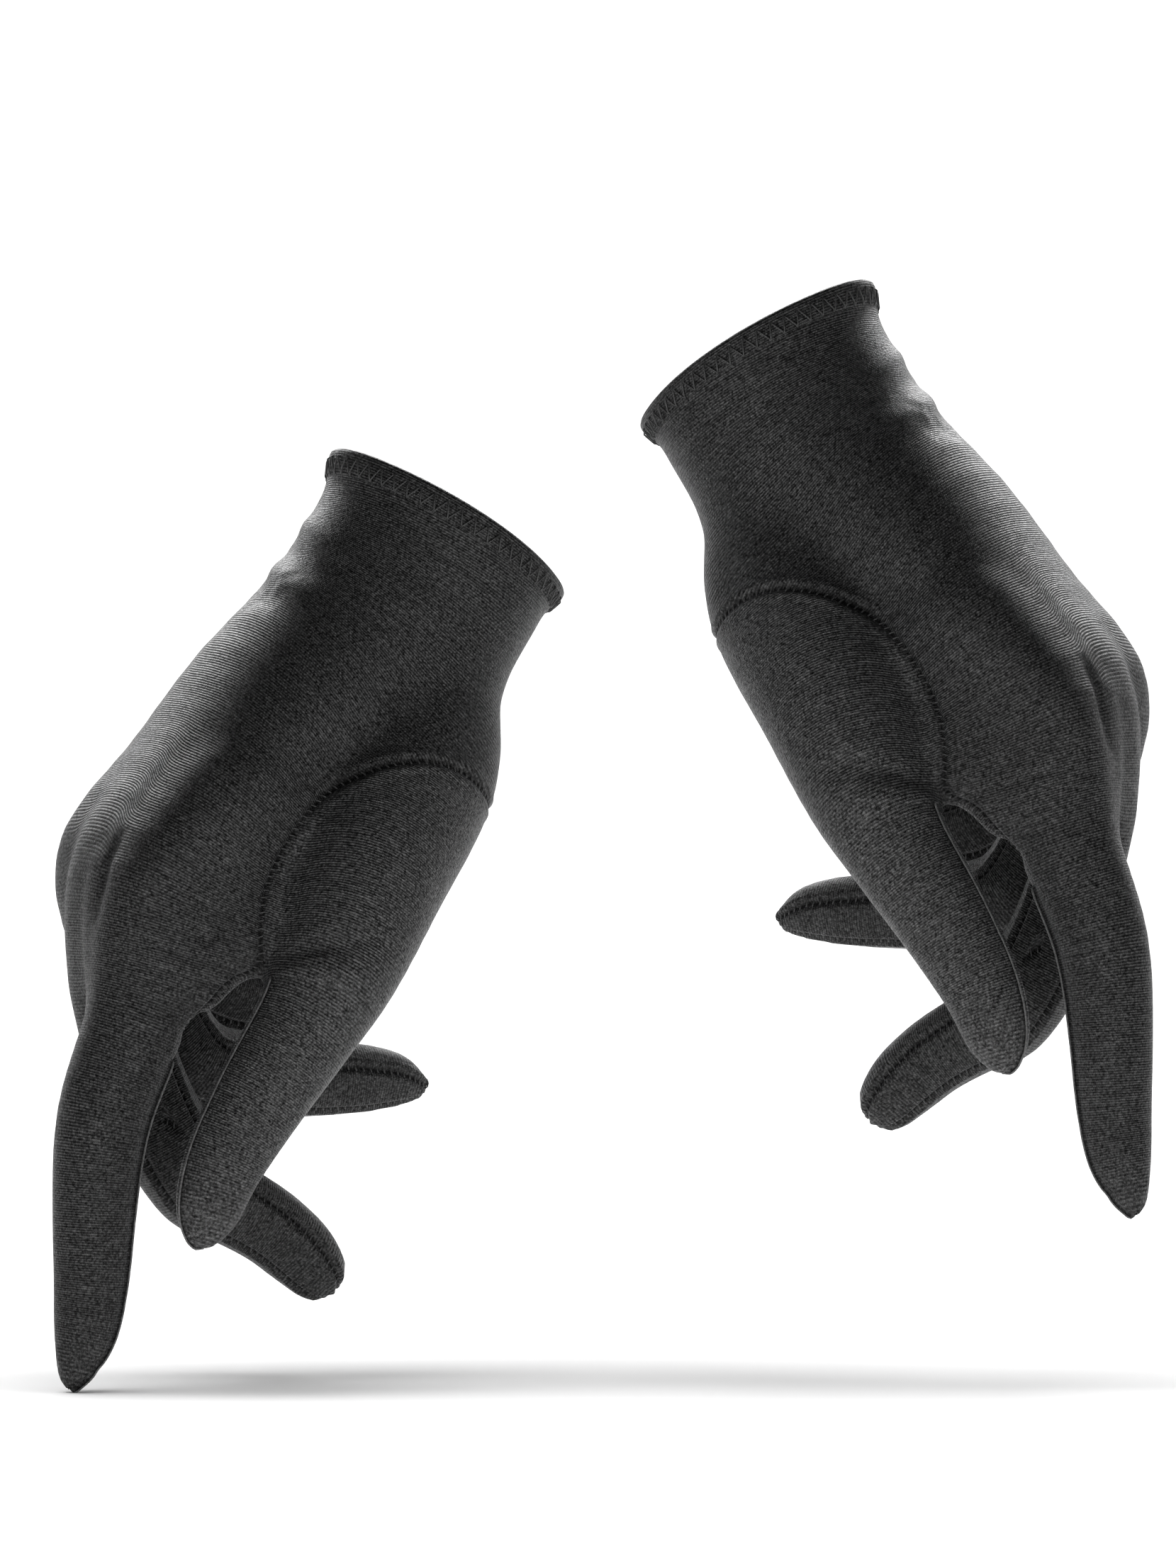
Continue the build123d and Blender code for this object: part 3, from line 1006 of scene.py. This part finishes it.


def satin():
    """Black stretch satin: a fine shiny knit with a soft bloom at its edges."""
    s = Shader("black_satin_knit")
    course, wale = s.field("course"), s.field("wale")
    rows = s.wave(course, KNIT_PITCH)
    loops = s.wave(s.math("ADD", wale, s.math("MULTIPLY", course, 0.5)), KNIT_PITCH * 0.9)
    grain = s.noise(2000.0)
    blotch = s.noise(120.0)
    along = s.node("ShaderNodeCombineXYZ", {0: course, 1: s.math("MULTIPLY", wale, 0.15)})
    streak = {"Vector": along.outputs[0], "Scale": 1.5, "Detail": 2.0}
    streak = s.node("ShaderNodeTexNoise", streak).outputs["Fac"]
    knit = s.math("MULTIPLY", rows, s.math("MULTIPLY_ADD", loops, 0.4, 0.4))
    knit = s.math("ADD", knit, streak)
    height = s.math("ADD", knit, s.math("MULTIPLY", grain, 0.9))
    # painted shade: near a seam the cloth's colour is darkened, down to a tenth at its middle,
    # for the shade in the sewn groove
    off = s.math("DIVIDE", s.field("seam_off"), SEAM_SHADE)
    seam = s.math("SUBTRACT", 1.0, s.math("MINIMUM", off, 1.0))
    speckle = s.math("POWER", grain, 2.0)
    weave = s.math("MULTIPLY_ADD", speckle, 4.0, -0.4)
    weave = s.math("MULTIPLY", s.math("MULTIPLY", knit, 1.6), weave)
    # painted sheen: the lustre factor makes a piece's colour lighter, and its cloth smoother
    weave = s.math("MULTIPLY", s.math("MAXIMUM", weave, 0.0), s.field("lustre"))
    # the colour is the knit's tone times the seam's painted shade
    tone = s.math("MULTIPLY", s.blend(0.0, 0.042, weave), s.blend(1.0, 0.1, seam))
    s.set(Base_Color=s.grey(tone))
    s.bump(1.0, 0.00018, height)
    polish = s.math("MINIMUM", weave, 1.0)
    s.set(Roughness=s.math("ADD", s.blend(0.56, 0.36, polish), s.math("MULTIPLY", blotch, 0.08)))
    s.set(Specular_IOR_Level=0.14, Sheen_Weight=0.03, Sheen_Roughness=0.3)
    s.skin.inputs["Sheen Tint"].default_value = (0.9, 0.92, 1.0, 1.0)
    return s.material


def thread():
    """Spun polyester thread: dark, softly shiny, with its twist, and a painted highlight that
    lightens the cords of raised seams and, less, the stitches.
    """
    s = Shader("black_sewing_thread")
    twist = s.wave(s.math("MULTIPLY", s.noise(900.0), 6.0), 1.0)
    # painted highlight: the thread's colour is made nine times lighter on a cord and less on a
    # stitch, standing for their lit edges
    cord = s.field("cord")
    tone = s.math("MULTIPLY", s.blend(0.004, 0.012, twist), s.blend(1.0, 9.0, cord))
    s.set(Base_Color=s.grey(tone), Roughness=0.55, Sheen_Weight=0.1)
    s.bump(0.4, 0.00005, twist)
    return s.material


def elastic():
    """Ribbed knitted elastic."""
    s = Shader("black_ribbed_elastic")
    ribs = s.wave(s.field("course"), 0.8)
    s.set(Base_Color=s.grey(s.blend(0.01, 0.03, ribs)), Roughness=0.7)
    s.bump(0.5, 0.0001, ribs)
    return s.material


def plain(name, tone, roughness):
    s = Shader(name)
    grain = s.noise(40.0)
    s.set(Base_Color=s.grey(s.blend(tone - 0.01, tone, grain)), Roughness=roughness)
    return s.material


# ---- pieces ----

CUFF_RADIUS = HAND[1][3]
STRETCH = 1.15          # the worn cloth's area over the cloth as it was cut
SLIM = 10.5             # narrowest strip that is written down as a sheet
LUSTRE = 1.5            # the thumb's pieces are cut along another grain; their stronger shine is a painted sheen, a colour this much lighter, and they are smoother too
GRAIN_SPREAD = 5.0      # how softly the knit turns from one finger's line to the next (mm)


def grain_line(rows):
    """Samples inside the cloth, and how far along the knit each one is."""
    rows = np.array(rows, float)
    rows = np.vstack([3 * rows[:1] - 2 * rows[1:2], rows, 3 * rows[-1:] - 2 * rows[-2:-1]])
    path = spline(rows, 8)
    return path, lengths_of(path)


def hand_grain():
    lines = []
    for name, line in FINGERS.items():
        w = hinge(name)[1]
        rows = [(row[0], w, row[2]) for row in HAND[:5]]
        lines.append(grain_line(rows + [(p, w, z) for p, z, _ in line]))
    return np.vstack([path for path, _ in lines]), np.concatenate([run for _, run in lines])


GRAINS = {"hand": hand_grain(), "thumb": grain_line([row[:3] for row in THUMB])}


def knit_fields(points, name):
    """Millimetres along and across the knit, for a finger's name or the hand."""
    line, run = GRAINS["thumb" if name in ("thumb", "gore") else "hand"]
    along = np.empty(len(points))
    for start in range(0, len(points), 4000):
        part = points[start:start + 4000]
        gap = ((part[:, None] - line) ** 2).sum(axis=2)
        gap -= gap.min(axis=1)[:, None]
        share = np.exp(-gap / (2 * GRAIN_SPREAD ** 2))
        along[start:start + 4000] = (share @ run) / share.sum(axis=1)
    if name in LIMBS and name != "thumb":
        _, angle, off = LIMBS[name].place(points)
        return along, np.radians((angle + 180) % 360 - 180) * off
    return along, points[:, 1] if name == "hand" else points[:, 0] - points[:, 2]


def hang(obj, side, owner):
    """A piece of the hand or cuff moves with the hand; a finger's piece is only fixed where it
    is.
    """
    hand = f"{side}_hand"
    if owner not in LIMBS:
        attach(obj, hand)
        return
    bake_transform(obj)


# The hand's cloth is one piece here; the CAD holds it as a back half and a palm half
CAD_NODES = {"hand_trank": ("trank_back", "trank_palm")}


def finish_piece(obj, side, node, material, owner):
    obj.data.materials.append(material)
    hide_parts(*(f"{side}_{name}" for name in CAD_NODES.get(node, (node,))))
    hang(obj, side, owner)
    return obj


def make_panel(surface, faces, node, side, material):
    triangles = surface.triangles[faces]
    points, normals, solid, used = shell(surface.points, surface.normals, triangles, FABRIC)
    owner = node.split("_")[0]
    if node == "thumb_gore":
        owner = "gore"
    along, wale = knit_fields(surface.flat_points[used], owner)
    # the thumb's pieces get a painted sheen: their colour is made lighter
    lustre = LUSTRE if owner in ("gore", "thumb") else 1.0
    fields = {"course": np.tile(along, 2), "wale": np.tile(wale, 2),
              "seam_off": np.tile(surface.seam_off[used], 2),
              "lustre": np.full(2 * len(used), lustre)}
    obj = make_mesh(f"{side}_{node}_cloth", points, solid, normals, fields, side)
    finish_piece(obj, side, node, material, owner)
    a, b, c = (surface.points[triangles[:, i]] for i in range(3))
    area = 0.5 * np.linalg.norm(np.cross(b - a, c - a), axis=1).sum() / STRETCH
    length = max(along.max() - along.min(), math.sqrt(area))
    obj["flat_mm"] = [max(area / (0.8 * length), SLIM), length]
    obj["flat_area_mm2"] = area
    return obj


def make_threads(shapes, node, side, material):
    points, faces, sizes = shapes
    # each thread's share of the painted highlight: full on a cord, STITCH_SHINE on a stitch
    fields = {"course": below_rim(points),
              "cord": np.where(sizes > STITCH_POINTS, 1.0, STITCH_SHINE)}
    obj = make_mesh(f"{side}_{node}_threads", points, faces, None, fields, side)
    return finish_piece(obj, side, node, material, node.split("_")[0])


def seam_shapes(surface, first, second, raised=False):
    edges = shared_edges(surface.triangles[first], surface.triangles[second])
    shapes = []
    for run in chains(edges):
        if len(run) < 4:
            continue
        shapes += edge_cord(surface, run) if raised else ladder(surface, run)
    return shapes


SEAM_SIDES = 4.0        # cloth this near to a seam within one panel is one of its sides


def seams_of(surface, panels):
    """Threads of every seam node: node name to (points, faces)."""
    found = {"thumb_gore_seam": seam_shapes(surface, panels["hand_trank"], panels["thumb_gore"])}
    for name in FINGERS:
        shapes = []
        names = list(PANELS[name])
        for i, first in enumerate(names):
            for second in names[i + 1:]:
                raised = name == "index" and {first, second} == {"back", "palm"}
                shapes += seam_shapes(surface, panels[f"{name}_{first}"],
                                      panels[f"{name}_{second}"], raised)
        found[f"{name}_seams"] = shapes
    centres = surface.flat_points[surface.triangles].mean(axis=1)
    stall = panels["thumb_stall"]
    off = finger_seam(LIMBS["thumb"], "inner")(centres[stall])
    near = np.abs(off) < SEAM_SIDES
    found["thumb_seams"] = seam_shapes(surface, stall[near & (off > 0)],
                                       stall[near & (off <= 0)], True)
    trank = panels["hand_trank"]
    off = side_seam()(centres[trank])
    near = np.abs(off) < SEAM_SIDES
    found["side_seam"] = seam_shapes(surface, trank[near & (off > 0)], trank[near & (off < 0)])
    return {node: merged(shapes) for node, shapes in found.items()}


def make_glove(surface, panels, seams, cuff_parts, side, cloth, yarn, rib):
    for node, faces in panels.items():
        if node != "above":
            make_panel(surface, faces, node, side, cloth)
    threads = {node: make_threads(shapes, node, side, yarn) for node, shapes in seams.items()}
    hem_points, hem_faces, _ = cuff_parts["cuff_hem"]
    turn = np.arctan2(hem_points[:, 1], hem_points @ RIM_THIN)
    fields = {"course": below_rim(hem_points), "wale": turn * CUFF_RADIUS,
              "seam_off": np.full(len(hem_points), FAR), "lustre": np.ones(len(hem_points))}
    hem = make_mesh(f"{side}_cuff_hem_cloth", hem_points, hem_faces, None, fields, side)
    finish_piece(hem, side, "cuff_hem", cloth, "cuff")
    zig = make_threads(cuff_parts["cuff_zigzag"], "cuff_zigzag", side, yarn)
    band = make_threads(cuff_parts["cuff_elastic"], "cuff_elastic", side, rib)


def make_gloves():
    surface = made_surface()
    panels = panel_faces(surface)
    seams = seams_of(surface, panels)
    cuff = Cuff(surface)
    cuff_parts = {"cuff_hem": cuff.ring(HEM_SECTION), "cuff_zigzag": zigzag(cuff),
                  "cuff_elastic": cuff.ring(ELASTIC_SECTION)}
    cloth, yarn, rib = satin(), thread(), elastic()
    for side in SIDES:
        make_glove(surface, panels, seams, cuff_parts, side, cloth, yarn, rib)


# ---- studio ----

# The camera looks straight back along Y, at this place and from this far off (m)
CAMERA_X, CAMERA_Z = 0.02727, -0.0493
CAMERA_AWAY = 1.5062
CAMERA_LENS = 180.0


def look_at(obj, target):
    direction = Vector(target) - obj.location
    obj.rotation_euler = direction.to_track_quat("-Z", "Y").to_euler()


def softbox(name, place, target, size, power):
    light = bpy.data.lights.new(name, "AREA")
    light.shape = "RECTANGLE"
    light.size, light.size_y = size
    light.energy = power
    obj = added(name, light)
    obj.location = place
    look_at(obj, target)
    return obj


def make_floor(height):
    """A pale floor that curves up into a backdrop far behind."""
    rows = [(-2.5, height), (1.2, height)]
    rows += [(1.2 + math.sin(t), height + 1.0 - math.cos(t))
             for t in np.linspace(0.1, math.pi / 2, 12)]
    rows.append((2.2, height + 4.0))
    points, faces = [], []
    for y, z in rows:
        points += [(-4.0, y, z), (4.0, y, z)]
    for k in range(len(rows) - 1):
        faces.append((2 * k, 2 * k + 1, 2 * k + 3, 2 * k + 2))
    mesh = bpy.data.meshes.new("studio_floor")
    mesh.from_pydata(points, [], faces)
    mesh.shade_smooth()
    mesh.materials.append(plain("pale_floor", 0.93, 0.9))
    floor = added("studio_floor", mesh)
    return floor


def only_lights(light, objects):
    """The light falls on some objects and leaves the rest of the set alone."""
    group = bpy.data.collections.new(light.name + "_falls_on")
    for obj in objects:
        group.objects.link(obj)
    light.light_linking.receiver_collection = group
    return group


def make_world():
    world_data = bpy.data.worlds.new("studio")
    bpy.context.scene.world = world_data
    world_data.use_nodes = True
    background = world_data.node_tree.nodes["Background"]
    background.inputs["Color"].default_value = (1.0, 1.0, 1.0, 1.0)
    background.inputs["Strength"].default_value = 0.02


def make_camera():
    data = bpy.data.cameras.new("camera")
    data.lens = CAMERA_LENS
    data.sensor_fit = "VERTICAL"
    data.sensor_height = 36.0
    camera = added("camera", data)
    camera.location = (CAMERA_X, -CAMERA_AWAY, CAMERA_Z)
    look_at(camera, (CAMERA_X, 0.0, CAMERA_Z))
    bpy.context.scene.camera = camera


def make_studio():
    low, high = (np.array(corner) for corner in CAD_BOX)
    centre = (low + high) / 2
    floor = make_floor(low[2] - 0.001)
    make_world()
    make_camera()
    for side, out in (("left", -1.0), ("right", 1.0)):
        glove = [obj for obj in bpy.context.scene.objects if obj.name.startswith(side)]
        top = softbox(f"{side}_top", centre + (0.2 * out, 1.1, 0.75), centre, (0.9, 0.6), 18.0)
        low = softbox(f"{side}_low", centre - (0.6 * out, 1.6, 0.35), centre, (0.6, 0.6), 13.0)
        for light in (top, low):
            light.light_linking.blocker_collection = only_lights(light, glove)
    wash = softbox("floor_wash", (0.0, 0.2, 2.6), (0.0, 1.0, -0.2), (4.0, 2.5), 150.0)
    only_lights(wash, [floor])
    bpy.context.scene.view_settings.view_transform = "Standard"


make_gloves()
make_studio()
